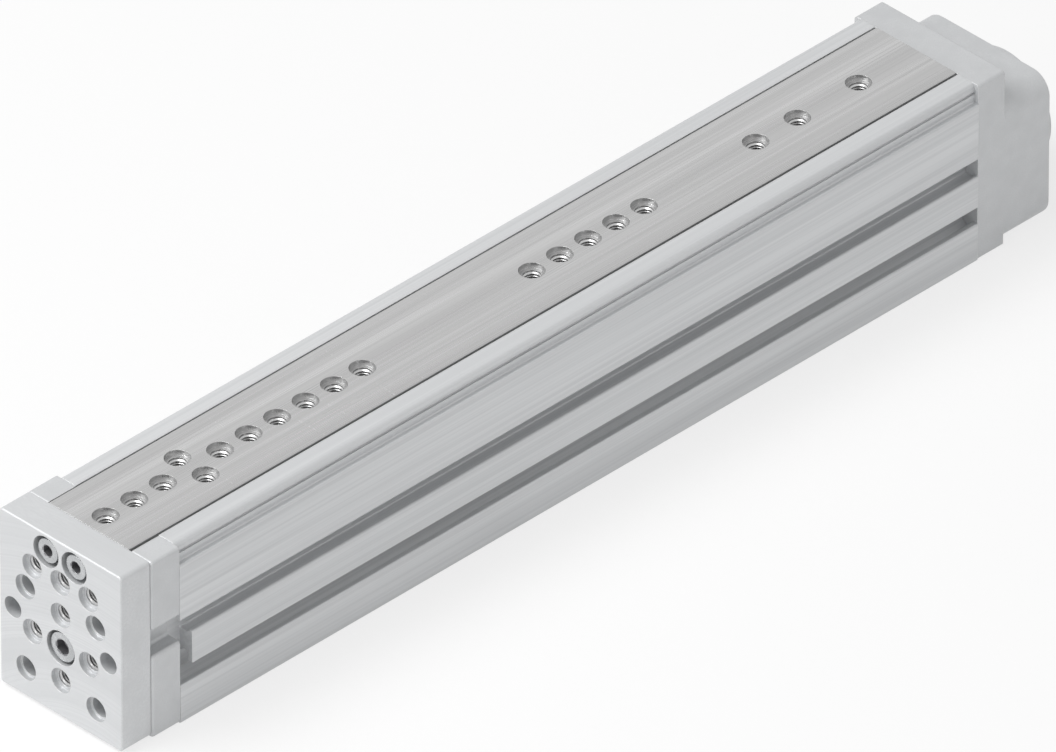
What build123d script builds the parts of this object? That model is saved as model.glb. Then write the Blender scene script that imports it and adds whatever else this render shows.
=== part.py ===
"""Miniature linear slide with a ball screw drive, 200 mm stroke.

An extruded aluminium housing carries a ground steel slide in its top channel.
A ball screw in the bore below pushes a hollow rod, and the rod pushes the yoke
plate that closes the front of the slide. The drive shaft comes out at the rear.

Frame: X runs towards the yoke plate, Y to the left of someone who looks along X,
Z up. The origin is the centre of the housing's underside. Millimetres.
"""
import math
import os

from build123d import *

# Stroke, and where the moving parts stand when the slide is drawn in
stroke = 200.0
yoke_gap = 0.15
slide_rear_gap = 0.3
nut_rear_reserve = 2.0
nut_front_reserve = 5.0

# Housing profile, an extrusion
profile_width = 44.5
profile_height = 54.2
base_edge_r = 0.5
axis_below_slide = 19.6
bore_r = 13.0

# Top corners of the profile: a narrower strip beside the slide, with a groove
strip_step = 1.55
strip_corner_r = 1.6
strip_height = 5.7
strip_groove_drop = 2.9
strip_groove_depth = 0.6
strip_groove_width = 1.0

# Upper side slot, for slot nuts
nut_slot_z = 28.9
nut_slot_opening = 5.4
nut_slot_cavity = 7.2
nut_slot_depth = 4.6
nut_slot_lip = 1.2
slot_edge_r = 0.5

# Lower side slot, for position sensors
sensor_slot_z = 14.05
sensor_slot_opening = 5.2
sensor_slot_cavity = 11.4
sensor_slot_floor = 5.6
sensor_slot_depth = 6.5
sensor_slot_lip = 1.6
sensor_slot_widest = 2.7
sensor_slot_round = 0.7
entry_length = 4.15

# Slide and its channel
slide_side_margin = 8.05
slide_height = 13.0
slide_proud = 0.4
channel_gap = 0.65
channel_floor_gap = 1.1
slide_edge = 0.3
slide_bottom_edge = 1.0

# Ball guide beside the slide
guide_ball_r = 1.5
guide_ball_gap = 0.05
guide_ball_pitch = 15.0
guide_ball_count = 7
race_drop = 7.8
race_offset = 0.3
return_down = 3.9
return_out = 2.5
return_bore_r = 1.7
insert_length = 108.0
insert_width = 4.45
insert_height = 9.1
deflector_length = 7.0
deflector_front_gap = 3.0

# Front cap
front_cap_length = 10.0
cap_side_inset = 0.15
cap_bottom_inset = 0.15
cap_top_inset = 0.2
cap_long_edge_r = 1.0
cap_front_edge_r = 0.9
notch_depth = 4.4
notch_below_slot = 3.7
notch_above_slot = 4.1
notch_edge_r = 1.0
front_screw_pitch = 25.0

# Wipers and the rod bush
slide_wiper_thickness = 1.6
slide_wiper_frame = 1.65
slide_wiper_gap = 0.15
slide_wiper_drop = 2.6
bush_seat_length = 17.0
bush_nose_length = 6.0
bush_nose_r = 10.0
rod_wiper_r = 11.0
rod_wiper_lip = 0.8

# Yoke plate
yoke_thickness = 10.0
yoke_side_inset = 0.5
yoke_bottom_z = 0.9
yoke_top_drop = 0.2
yoke_edge_r = 1.2
yoke_face_edge = 0.3
yoke_grid = 10.0
yoke_access_r = 2.9
yoke_pin_hole_r = 3.0
yoke_pin_edge = 4.75
yoke_pin_above_axis = 4.0
table_screw_pitch = 10.0
table_screw_drop = 5.6

# Threaded holes with a centring counterbore, in the yoke plate and the slide
centring_r = 3.5
centring_depth = 1.6
slide_thread_depth = 9.0
slide_holes_from_front = (16, 26, 36, 56, 66, 76, 86, 96, 106)
slide_pair_from_front = 46.0
slide_holes_about_middle = (-4, -14, -24, -34, -44)
slide_holes_from_rear = (58, 43, 21)
slide_pair_pitch = 10.0

# Threaded holes in the underside
base_hole_x = (100.0, 50.0)
base_hole_pitch = 20.0
base_thread_depth = 8.0

# Push rod, nut and their carrier
rod_r = 8.0
rod_bore_r = 6.0
plug_length = 18.0
carrier_r = 12.3
nut_retainer_length = 2.0
rod_seat_length = 12.0
shoulder_length = 6.0
shoulder_bore_r = 6.2
nut_length = 32.0
nut_r = 10.0
nut_end_cap_length = 4.0
nut_end_cap_step = 0.8
guide_ring_width = 6.0
guide_ring_depth = 1.1
guide_ring_inset = 3.0
magnet_width = 5.0
magnet_depth = 1.7
magnet_r = 12.7
magnet_inset = 14.0

# Spindle and its front support
spindle_r = 5.0
journal_r = 4.0
shaft_end_r = 3.0
shaft_end_length = 15.0
shaft_proud = 10.0
support_journal_r = 3.5
support_ring_length = 6.0
support_ring_ahead = 2.5
retaining_ring_r = 4.4
retaining_ring_width = 0.8
retaining_ring_opening = 5.0
retaining_groove_depth = 0.5
spindle_tail = 1.6

# Rear bearing housing: plate, square boss and round collar
rear_plate_length = 9.4
rear_plate_top_inset = 0.1
boss_length = 16.5
boss_corner_r = 6.0
boss_root_r = 0.8
collar_r = 16.0
collar_length = 7.1
collar_edge = 0.6
clamp_ring_r = 12.5
clamp_ring_bore_r = 8.4
clamp_ring_length = 5.0
clamp_ring_recess = 5.0
spanner_slot_width = 2.6
spanner_slot_depth = 1.8
seat_shoulder_r = 8.5
rear_screw_y = 15.0
rear_screw_edge = 7.5
rear_screw_counterbore = 12.0

# Bearings of the spindle, a pair side by side
bearing_r = 11.0
bearing_width = 7.0
bearing_ball_r = 1.9
bearing_ball_gap = 0.05
bearing_ball_count = 7
bearing_pitch_r = 7.5
inner_ring_r = 6.4
outer_ring_bore_r = 8.6
cage_inner_r = 6.8
cage_outer_r = 8.2
cage_width = 5.0
lock_nut_r = 7.0
lock_nut_slot = 2.0

# Buffers
buffer_length = 4.0
rear_buffer_bore_r = 6.0
front_buffer_bore_r = 8.4
buffer_edge = 0.8

# Socket head screws, by size: shank radius, head radius, head height, key width, key depth
m4 = (2.0, 3.5, 4.0, 3.0, 2.2)
m5 = (2.5, 4.25, 5.0, 4.0, 2.7)
head_edge = 0.35
thread_engagement = 10.0
m4_head_room = 0.25
table_head_room = 1.0
rod_head_room = 0.75
head_sink = 0.55
screw_hole_gap = 0.25
tap_extra = 2.0

# Clearances
running_gap = 0.05
seat_gap = 0.02
chamfer_small = 0.4

# Places that follow from the sizes above
carrier_length = nut_retainer_length + nut_length + shoulder_length + rod_seat_length
profile_length = (
    2 * buffer_length + nut_rear_reserve + carrier_length + stroke + nut_front_reserve
    + bush_seat_length
)
half_profile = profile_length / 2
half_width = profile_width / 2
strip_half_width = half_width - strip_step
strip_foot_z = profile_height - strip_height
strip_groove_z = profile_height - strip_groove_drop
slide_width = profile_width - 2 * slide_side_margin
slide_top_z = profile_height + slide_proud
slide_bottom_z = slide_top_z - slide_height
race_z = slide_top_z - race_drop
axis_z = slide_bottom_z - axis_below_slide
cap_width = profile_width - 2 * cap_side_inset
front_cap_top_z = profile_height - cap_top_inset
notch_bottom_z = nut_slot_z - notch_below_slot
notch_top_z = nut_slot_z + notch_above_slot
slide_wiper_top_z = slide_top_z - slide_wiper_drop
yoke_width = profile_width - 2 * yoke_side_inset
yoke_top_z = slide_top_z - yoke_top_drop
yoke_pin_y = yoke_width / 2 - yoke_pin_edge
yoke_pin_z = axis_z + yoke_pin_above_axis
table_screw_z = slide_top_z - table_screw_drop
rear_plate_top_z = profile_height - rear_plate_top_inset
boss_height = 2 * axis_z
rear_screw_z = axis_z - rear_screw_edge
thread_r = m5[0]
front_cap_x = half_profile + front_cap_length - yoke_gap
yoke_back_x = half_profile + front_cap_length
yoke_front_x = yoke_back_x + yoke_thickness
slide_back_x = -half_profile + slide_rear_gap
channel_half = slide_width / 2 + channel_gap
channel_floor_z = slide_bottom_z - channel_floor_gap
race_y = slide_width / 2 + race_offset
race_r = guide_ball_r + guide_ball_gap
insert_front_x = half_profile - deflector_front_gap - deflector_length
insert_back_x = insert_front_x - insert_length
boss_back_x = -half_profile - rear_plate_length - boss_length
collar_back_x = boss_back_x - collar_length
clamp_ring_back_x = collar_back_x + clamp_ring_recess
bearing_back_x = clamp_ring_back_x + clamp_ring_length
bearing_front_x = bearing_back_x + 2 * bearing_width
shaft_back_x = collar_back_x - shaft_proud
shaft_step_x = shaft_back_x + shaft_end_length
carrier_back_x = -half_profile + buffer_length + nut_rear_reserve
carrier_front_x = carrier_back_x + carrier_length
nut_back_x = carrier_front_x - rod_seat_length - shoulder_length - nut_length
front_buffer_x = carrier_front_x + stroke + nut_front_reserve
bush_back_x = front_buffer_x + buffer_length
support_x = carrier_front_x + stroke + support_ring_ahead
spindle_front_x = support_x + support_ring_length + retaining_ring_width + spindle_tail


def block(x, y, z):
    """A block between the limits given as three (low, high) pairs."""
    middle = Pos((x[0] + x[1]) / 2, (y[0] + y[1]) / 2, (z[0] + z[1]) / 2)
    return middle * Box(x[1] - x[0], y[1] - y[0], z[1] - z[0])


def round_bar(low, high, radius, y=0.0, z=axis_z):
    """A cylinder along X from low to high, on the line (y, z)."""
    return Pos((low + high) / 2, y, z) * Rot(0, 90, 0) * Cylinder(radius, high - low)


def tube(low, high, outer, inner, y=0.0, z=axis_z):
    return round_bar(low, high, outer, y, z) - round_bar(low, high, inner, y, z)


def turned(outline):
    """A solid of revolution about the spindle axis, from (x, radius) points."""
    face = make_face(Polyline([(x, 0, r) for x, r in outline], close=True))
    return Pos(0, 0, axis_z) * revolve(face, Axis.X, 360)


def section_along_x(section, low, high):
    """Extrude a sketch drawn in Y and Z from X low to X high."""
    return Pos(low, 0, 0) * extrude(Plane.YZ * section, high - low)


def both_sides(piece):
    """The piece and its mirror image on the other side of the slide."""
    return [piece, mirror(piece, Plane.XZ)]


def vertices_at(sketch, points, reach=0.06):
    """The corners of a sketch that lie at the given (y, z) points, on both sides."""
    found = []
    for corner in sketch.vertices():
        for y, z in points:
            if abs(abs(corner.X) - y) < reach and abs(corner.Y - z) < reach:
                found.append(corner)
    return found


def hex_pocket(x_open, depth, key_width, y, z):
    """A hexagon socket that opens at x_open and goes depth towards minus X."""
    outline = RegularPolygon(key_width / 2, 6, major_radius=False)
    return Pos(x_open - depth, y, z) * extrude(Plane.YZ * outline, depth)


def socket_screw(size, seat_x, length, y, z):
    """A socket head screw that points to minus X and has its head in front of seat_x."""
    shank_r, head_r, head_height, key_width, key_depth = size
    top_x = seat_x + head_height
    head = round_bar(seat_x, top_x, head_r, y, z)
    head = chamfer(head.edges().group_by(Axis.X)[-1], head_edge)
    shank = round_bar(seat_x - length, seat_x, shank_r - seat_gap, y, z)
    shank = chamfer(shank.edges().group_by(Axis.X)[0], chamfer_small)
    return head + shank - hex_pocket(top_x, key_depth, key_width, y, z)


def centred_thread(depth):
    """The cutter of a threaded hole along Z that opens upwards at Z = 0, with its counterbore."""
    core = Pos(0, 0, -depth / 2) * Cylinder(thread_r, depth)
    return core + Pos(0, 0, -centring_depth / 2) * Cylinder(centring_r, centring_depth)


def around_axis(pitch_y, pitch_z):
    """The four (y, z) places of a rectangle about the spindle axis."""
    return [(sy * pitch_y / 2, axis_z + sz * pitch_z / 2) for sy in (-1, 1) for sz in (-1, 1)]


front_screws = around_axis(front_screw_pitch, front_screw_pitch)
rear_screws = around_axis(2 * rear_screw_y, 2 * rear_screw_z)


# Housing profile
def nut_slot_section():
    """The upper slot of one side: a shallow T, with its mouth at the side face."""
    lip_y = half_width - nut_slot_lip
    floor_y = half_width - nut_slot_depth
    mouth = Pos((lip_y + half_width) / 2 + 1, nut_slot_z) * Rectangle(nut_slot_lip + 2, nut_slot_opening)
    cavity = Pos((lip_y + floor_y) / 2, nut_slot_z) * Rectangle(lip_y - floor_y, nut_slot_cavity)
    return mouth + fillet(cavity.vertices(), slot_edge_r)


def sensor_slot_section():
    """The lower slot of one side: it is widest behind the lips and tapers to its floor."""
    lip_y = half_width - sensor_slot_lip
    wide_y = half_width - sensor_slot_widest
    floor_y = half_width - sensor_slot_depth
    half_cavity = sensor_slot_cavity / 2
    half_floor = sensor_slot_floor / 2
    mouth = Pos((lip_y + half_width) / 2 + 1, sensor_slot_z) * Rectangle(
        sensor_slot_lip + 2, sensor_slot_opening
    )
    outline = [
        (lip_y, -half_cavity + 0.9), (wide_y, -half_cavity), (floor_y, -half_floor),
        (floor_y, half_floor), (wide_y, half_cavity), (lip_y, half_cavity - 0.9),
    ]
    cavity = make_face(Polyline(outline, close=True))
    widest = vertices_at(cavity, [(wide_y, half_cavity), (wide_y, -half_cavity)])
    return mouth + Pos(0, sensor_slot_z) * fillet(widest, sensor_slot_round)


def housing_section():
    """The housing's cross-section in Y and Z."""
    body = Pos(0, profile_height / 2) * Rectangle(profile_width, profile_height)
    shoulder = Rectangle(half_width, profile_height, align=(Align.MIN, Align.MIN))
    body -= Pos(strip_half_width, strip_foot_z) * shoulder
    body -= mirror(Pos(strip_half_width, strip_foot_z) * shoulder, Plane.YZ)
    groove = Rectangle(2 * strip_groove_depth, strip_groove_width)
    slot_sides = nut_slot_section() + sensor_slot_section()
    slot_sides += Pos(strip_half_width, strip_groove_z) * groove
    body -= slot_sides + mirror(slot_sides, Plane.YZ)
    channel_top = profile_height + 1
    body -= Pos(0, (channel_floor_z + channel_top) / 2) * Rectangle(
        2 * channel_half, channel_top - channel_floor_z
    )
    body -= Pos(0, channel_floor_z + insert_height / 2) * Rectangle(
        2 * (channel_half + insert_width), insert_height
    )
    body -= Pos(0, axis_z) * Circle(bore_r)
    body = fillet(vertices_at(body, [(strip_half_width, profile_height)]), strip_corner_r)
    soft_corners = [
        (half_width, 0), (half_width, strip_foot_z), (strip_half_width, strip_foot_z),
        (half_width, nut_slot_z - nut_slot_opening / 2),
        (half_width, sensor_slot_z - sensor_slot_opening / 2),
    ]
    return fillet(vertices_at(body, soft_corners), base_edge_r)


def housing_profile():
    body = section_along_x(housing_section(), -half_profile, half_profile)
    slot_floor_y = half_width - nut_slot_depth
    entry_low = sensor_slot_z - sensor_slot_opening / 2
    entry = block(
        (half_profile - entry_length, half_profile + 1),
        (slot_floor_y, half_width + 1),
        (entry_low, nut_slot_z),
    )
    for side in both_sides(entry):
        body -= side
    tap_r = m4[0]
    tap_depth = thread_engagement + tap_extra
    for y, z in front_screws:
        body -= round_bar(half_profile - tap_depth, half_profile + 1, tap_r, y, z)
    for y, z in rear_screws:
        body -= round_bar(-half_profile - 1, -half_profile + tap_depth, tap_r, y, z)
    for x in base_hole_x:
        for sx in (-1, 1):
            for sy in (-1, 1):
                hole = Cylinder(thread_r, 2 * base_thread_depth)
                body -= Pos(sx * x, sy * base_hole_pitch / 2, 0) * hole
    return body


# Ball guide: hardened inserts in the channel walls, with a return bore and end pieces
def insert_block(low, high):
    """A block that fills one side pocket of the channel from X low to X high."""
    return block(
        (low, high),
        (channel_half, channel_half + insert_width),
        (channel_floor_z, channel_floor_z + insert_height),
    )


def guide_insert():
    bar = insert_block(insert_back_x, insert_front_x)
    bar -= round_bar(insert_back_x - 1, insert_front_x + 1, race_r, race_y, race_z)
    return_y = race_y + return_out
    return_z = race_z - return_down
    bar -= round_bar(insert_back_x - 1, insert_front_x + 1, return_bore_r, return_y, return_z)
    return bar


def guide_deflectors():
    """End pieces of both inserts. A half ring in each turns the balls into the return bore."""
    turn_radius = math.hypot(return_out, return_down) / 2
    middle_y = race_y + return_out / 2
    middle_z = race_z - return_down / 2
    pieces = []
    for end_x, outward in ((insert_front_x, 1), (insert_back_x, -1)):
        low, high = sorted((end_x, end_x + outward * deflector_length))
        piece = insert_block(low, high)
        turn = Plane(origin=(end_x, middle_y, middle_z), x_dir=(1, 0, 0),
                     z_dir=(0, return_down, return_out))
        piece -= turn * Torus(turn_radius, race_r)
        pieces += both_sides(piece)
    return pieces


def guide_balls():
    """One row of loaded balls, between the slide's raceway and the insert's."""
    middle_x = (insert_front_x + insert_back_x) / 2
    balls = []
    for i in range(guide_ball_count):
        x = middle_x + (i - (guide_ball_count - 1) / 2) * guide_ball_pitch
        balls.append(Pos(x, race_y, race_z) * Sphere(guide_ball_r))
    return balls


# Front cap, its wipers and the bush that guides the rod
def wiper_outline(frame, inner_gap, top_z):
    """A U in Y and Z round the slide's sides and bottom, with noses into its raceways."""
    inner_half = slide_width / 2 + inner_gap
    inner_bottom = slide_bottom_z - inner_gap
    outer_bottom = channel_floor_z - frame
    outer = Pos(0, (outer_bottom + top_z) / 2) * Rectangle(
        2 * (channel_half + frame), top_z - outer_bottom
    )
    opening = Pos(0, (inner_bottom + top_z + 1) / 2) * Rectangle(
        2 * inner_half, top_z + 1 - inner_bottom
    )
    nose = Pos(race_y, race_z) * Circle(race_r - inner_gap)
    return outer - opening + nose + mirror(nose, Plane.YZ)


def front_cap():
    height = front_cap_top_z - cap_bottom_inset
    middle_z = (front_cap_top_z + cap_bottom_inset) / 2
    section = fillet(Rectangle(cap_width, height).vertices(), cap_long_edge_r)
    cap = section_along_x(Pos(0, middle_z) * section, half_profile, front_cap_x)
    cap = fillet(cap.faces().sort_by(Axis.X)[-1].edges(), cap_front_edge_r)
    past = (half_profile - 1, front_cap_x + 1)
    channel = block(past, (-channel_half, channel_half), (channel_floor_z, front_cap_top_z + 1))
    notch_section = Pos(
        cap_width / 2 - notch_depth + cap_width / 2, (notch_bottom_z + notch_top_z) / 2
    ) * fillet(Rectangle(cap_width, notch_top_z - notch_bottom_z).vertices(), notch_edge_r)
    notch = section_along_x(notch_section, *past)
    cap -= [channel, *both_sides(notch)]
    corner_y = cap_width / 2
    mouth_edges = [
        e for e in cap.edges().filter_by(Axis.X)
        if abs(abs(e.center().Y) - corner_y) < 0.01 and abs(e.center().Z - notch_bottom_z) < 0.01
    ]
    cap = fillet(mouth_edges, notch_edge_r)
    wiper_frame_z = (channel_floor_z - slide_wiper_frame, slide_wiper_top_z)
    wiper_half = channel_half + slide_wiper_frame
    cap -= block(
        (half_profile - 1, half_profile + slide_wiper_thickness),
        (-wiper_half, wiper_half),
        wiper_frame_z,
    )
    nose_x = half_profile + bush_nose_length
    cap -= round_bar(half_profile - 1, nose_x + 1, bush_nose_r)
    cap -= round_bar(nose_x, front_cap_x + 1, rod_wiper_r)
    head_seat_x = front_cap_x - m4[2] - m4_head_room
    for y, z in front_screws:
        cap -= round_bar(half_profile - 1, front_cap_x, m4[0] + screw_hole_gap, y, z)
        cap -= round_bar(head_seat_x, front_cap_x + 1, m4[1] + screw_hole_gap, y, z)
    return cap


def front_cap_screws():
    seat_x = front_cap_x - m4[2] - m4_head_room
    length = seat_x - half_profile + thread_engagement
    return [socket_screw(m4, seat_x, length, y, z) for y, z in front_screws]


def slide_wiper():
    outline = wiper_outline(slide_wiper_frame - seat_gap, slide_wiper_gap, slide_wiper_top_z)
    return section_along_x(outline, half_profile, half_profile + slide_wiper_thickness)


def rod_bush():
    inner = rod_r + running_gap
    nose_x = half_profile + bush_nose_length
    return turned([
        (bush_back_x, inner + chamfer_small), (bush_back_x, bore_r - seat_gap - chamfer_small),
        (bush_back_x + chamfer_small, bore_r - seat_gap), (half_profile, bore_r - seat_gap),
        (half_profile, bush_nose_r - seat_gap), (nose_x, bush_nose_r - seat_gap),
        (nose_x, inner), (bush_back_x + chamfer_small, inner),
    ])


def rod_wiper():
    back_x = half_profile + bush_nose_length
    inner = rod_r + running_gap
    outer = rod_wiper_r - seat_gap
    return turned([
        (back_x, inner + rod_wiper_lip), (back_x, outer),
        (front_cap_x - chamfer_small, outer), (front_cap_x - chamfer_small, inner + 2 * rod_wiper_lip),
        (front_cap_x - rod_wiper_lip, inner + rod_wiper_lip), (front_cap_x - chamfer_small, inner),
        (front_cap_x - 2 * rod_wiper_lip, inner),
    ])


# Slide and yoke plate
def slide_thread_places():
    """(x, y) of the threaded holes in the slide's top: seventeen in a row and a pair."""
    row = [yoke_front_x - d for d in slide_holes_from_front]
    row += slide_holes_about_middle
    row += [-half_profile + d for d in slide_holes_from_rear]
    pair_x = yoke_front_x - slide_pair_from_front
    pair = [(pair_x, sy * slide_pair_pitch / 2) for sy in (-1, 1)]
    return [(x, 0) for x in row] + pair


def slide_table():
    low, high = slide_bottom_z, slide_top_z
    section = Pos(0, (low + high) / 2) * Rectangle(slide_width, high - low)
    section = chamfer(section.vertices().group_by(Axis.Y)[-1], slide_edge)
    section = chamfer(section.vertices().group_by(Axis.Y)[0], slide_bottom_edge)
    race = Pos(race_y, race_z) * Circle(race_r)
    section -= race + mirror(race, Plane.YZ)
    bar = section_along_x(section, slide_back_x, yoke_back_x)
    for x, y in slide_thread_places():
        bar -= Pos(x, y, slide_top_z) * centred_thread(slide_thread_depth)
    for sy in (-1, 1):
        y = sy * table_screw_pitch / 2
        depth = thread_engagement + tap_extra
        bar -= round_bar(yoke_back_x - depth, yoke_back_x + 1, m4[0], y, table_screw_z)
    return bar


def yoke_thread_places():
    """(y, z) of the threaded holes in the yoke plate, on a grid about the rod screw."""
    g = yoke_grid
    steps = [(-1, 2), (0, 2), (1, 2), (0, 1), (-1, 0), (1, 0), (0, -1)]
    return [(sy * g, axis_z + sz * g) for sy, sz in steps]


def yoke_plate():
    height = yoke_top_z - yoke_bottom_z
    section = fillet(Rectangle(yoke_width, height).vertices(), yoke_edge_r)
    section = Pos(0, (yoke_top_z + yoke_bottom_z) / 2) * section
    plate = section_along_x(section, yoke_back_x, yoke_front_x)
    plate = chamfer(plate.faces().sort_by(Axis.X)[-1].edges(), yoke_face_edge)
    through = (yoke_back_x - 1, yoke_front_x + 1)
    centring_floor = yoke_front_x - centring_depth
    for y, z in yoke_thread_places():
        plate -= round_bar(*through, thread_r, y, z)
        plate -= round_bar(centring_floor, yoke_front_x + 1, centring_r, y, z)
    for y, z in front_screws:
        plate -= round_bar(*through, yoke_access_r, y, z)
        plate -= round_bar(centring_floor, yoke_front_x + 1, centring_r, y, z)
    for sy in (-1, 1):
        plate -= round_bar(*through, yoke_pin_hole_r, sy * yoke_pin_y, yoke_pin_z)
        y = sy * table_screw_pitch / 2
        seat = yoke_front_x - m4[2] - head_sink
        plate -= round_bar(*through, m4[0] + screw_hole_gap, y, table_screw_z)
        plate -= round_bar(seat, yoke_front_x + 1, m4[1] + table_head_room, y, table_screw_z)
    seat = yoke_front_x - m5[2] - head_sink
    plate -= round_bar(*through, m5[0] + screw_hole_gap)
    plate -= round_bar(seat, yoke_front_x + 1, m5[1] + rod_head_room)
    return plate


def table_screws():
    seat = yoke_front_x - m4[2] - head_sink
    length = seat - yoke_back_x + thread_engagement
    return [
        socket_screw(m4, seat, length, sy * table_screw_pitch / 2, table_screw_z) for sy in (-1, 1)
    ]


def rod_screw():
    seat = yoke_front_x - m5[2] - head_sink
    return socket_screw(m5, seat, seat - yoke_back_x + thread_engagement, 0, axis_z)


# Push rod, its plug, and the carrier that joins it to the ball nut
def push_rod():
    return tube(carrier_front_x - rod_seat_length, yoke_back_x, rod_r, rod_bore_r)


def rod_plug():
    plug = round_bar(yoke_back_x - plug_length, yoke_back_x, rod_bore_r)
    plug = chamfer(plug.edges().group_by(Axis.X)[0], chamfer_small)
    return plug - round_bar(yoke_back_x - thread_engagement - tap_extra, yoke_back_x + 1, m5[0])


def carrier_grooves():
    """(back x, front x, depth) of the grooves in the carrier: two guide rings and the magnet."""
    back_ring = carrier_back_x + guide_ring_inset
    front_ring = carrier_front_x - guide_ring_inset - guide_ring_width
    magnet_back = carrier_front_x - magnet_inset - magnet_width
    return [
        (back_ring, back_ring + guide_ring_width, guide_ring_depth),
        (front_ring, front_ring + guide_ring_width, guide_ring_depth),
        (magnet_back, magnet_back + magnet_width, magnet_depth),
    ]


def nut_carrier():
    rod_seat_x = carrier_front_x - rod_seat_length
    nut_seat_x = rod_seat_x - shoulder_length
    body = round_bar(carrier_back_x, carrier_front_x, carrier_r)
    body = chamfer(body.edges(), chamfer_small)
    body -= round_bar(carrier_back_x - 1, nut_seat_x, nut_r)
    body -= round_bar(nut_seat_x - 1, rod_seat_x + 1, shoulder_bore_r)
    body -= round_bar(rod_seat_x, carrier_front_x + 1, rod_r)
    for low, high, depth in carrier_grooves():
        body -= tube(low, high, carrier_r + 1, carrier_r - depth)
    return body


def spindle_nut():
    """The ball nut's steel body, between its two plastic end caps."""
    low = nut_back_x + nut_end_cap_length
    high = nut_back_x + nut_length - nut_end_cap_length
    return tube(low, high, nut_r, spindle_r + running_gap)


def nut_end_caps():
    caps = []
    outer = nut_r - nut_end_cap_step
    inner = spindle_r + running_gap
    for low in (nut_back_x, nut_back_x + nut_length - nut_end_cap_length):
        caps.append(tube(low, low + nut_end_cap_length, outer, inner))
    return caps


def nut_retainer():
    """The threaded ring that holds the nut against the carrier's shoulder."""
    low = carrier_back_x + chamfer_small
    return tube(low, nut_back_x, nut_r, nut_r - nut_end_cap_step - 2)


def carrier_guide_rings():
    rings = []
    for low, high, depth in carrier_grooves()[:2]:
        rings.append(tube(low, high, bore_r - running_gap, carrier_r - depth))
    return rings


def position_magnet():
    low, high, depth = carrier_grooves()[2]
    return tube(low, high, magnet_r, carrier_r - depth)


# Spindle, its front support and the rear bearings
def spindle():
    groove_x = support_x + support_ring_length
    groove_r = support_journal_r - retaining_groove_depth
    c = chamfer_small
    return turned([
        (shaft_back_x, 0), (shaft_back_x, shaft_end_r - c), (shaft_back_x + c, shaft_end_r),
        (shaft_step_x, shaft_end_r), (shaft_step_x, journal_r - c), (shaft_step_x + c, journal_r),
        (bearing_front_x, journal_r), (bearing_front_x, spindle_r), (support_x, spindle_r),
        (support_x, support_journal_r), (groove_x, support_journal_r), (groove_x, groove_r),
        (groove_x + retaining_ring_width, groove_r),
        (groove_x + retaining_ring_width, support_journal_r),
        (spindle_front_x - c, support_journal_r), (spindle_front_x, support_journal_r - c),
        (spindle_front_x, 0),
    ])


def spindle_support_ring():
    return tube(support_x, support_x + support_ring_length, rod_bore_r - running_gap, support_journal_r)


def support_retaining_ring():
    low = support_x + support_ring_length
    inner = support_journal_r - retaining_groove_depth
    ring = tube(low, low + retaining_ring_width, retaining_ring_r, inner)
    opening = block(
        (low - 1, low + retaining_ring_width + 1),
        (-retaining_ring_opening / 2, retaining_ring_opening / 2),
        (axis_z - retaining_ring_r - 1, axis_z - inner / 2),
    )
    return ring - opening


def bearing_centres():
    return [bearing_back_x + (i + 0.5) * bearing_width for i in range(2)]


def bearing_groove(middle):
    """The ball track of one bearing, a ring with the balls' section."""
    track = Torus(bearing_pitch_r, bearing_ball_r + bearing_ball_gap)
    return Pos(middle, 0, axis_z) * Rot(0, 90, 0) * track


def bearing_rings(outer, inner):
    rings = []
    for middle in bearing_centres():
        half = bearing_width / 2
        ring = tube(middle - half, middle + half, outer, inner)
        ring = chamfer(ring.edges().filter_by(GeomType.CIRCLE).sort_by(Edge.length.fget)[-2:], 0.3)
        rings.append(ring - bearing_groove(middle))
    return rings


def bearing_ball_places(middle, radius=bearing_pitch_r):
    for i in range(bearing_ball_count):
        angle = 2 * math.pi * i / bearing_ball_count
        yield Pos(middle, radius * math.cos(angle), axis_z + radius * math.sin(angle))


def bearing_cages():
    cages = []
    for middle in bearing_centres():
        cage = tube(middle - cage_width / 2, middle + cage_width / 2, cage_outer_r, cage_inner_r)
        for place in bearing_ball_places(middle):
            cage -= place * Sphere(bearing_ball_r + seat_gap)
        cages += list(cage.solids())
    return cages


def bearing_balls():
    balls = []
    for middle in bearing_centres():
        balls += [place * Sphere(bearing_ball_r) for place in bearing_ball_places(middle)]
    return balls


def bearing_housing():
    """Plate, boss and collar in one piece, bored through for the bearings and the spindle."""
    boss_front_x = -half_profile - rear_plate_length
    plate_section = fillet(Rectangle(cap_width, rear_plate_top_z).vertices(), cap_long_edge_r)
    plate = section_along_x(
        Pos(0, rear_plate_top_z / 2) * plate_section, boss_front_x, -half_profile
    )
    boss_section = fillet(Rectangle(cap_width, boss_height).vertices(), boss_corner_r)
    boss = section_along_x(Pos(0, boss_height / 2) * boss_section, boss_back_x, boss_front_x)
    collar = round_bar(collar_back_x, boss_back_x, collar_r)
    collar = chamfer(collar.edges().group_by(Axis.X)[0], collar_edge)
    body = plate + boss + collar
    root_edges = [
        e for e in body.edges().filter_by(Axis.Y)
        if abs(e.center().X - boss_front_x) < 0.01 and abs(e.center().Z - boss_height) < 0.01
    ]
    body = fillet(root_edges, boss_root_r)
    body -= round_bar(collar_back_x - 1, bearing_back_x, clamp_ring_r)
    body -= round_bar(bearing_back_x - 1, bearing_front_x, bearing_r)
    body -= round_bar(bearing_front_x - 1, -half_profile + 1, seat_shoulder_r)
    seat_x = boss_back_x + rear_screw_counterbore
    for y, z in rear_screws:
        body -= round_bar(boss_back_x - 1, seat_x, m4[1] + screw_hole_gap, y, z)
        body -= round_bar(seat_x - 1, -half_profile + 1, m4[0] + screw_hole_gap, y, z)
    return body


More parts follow.
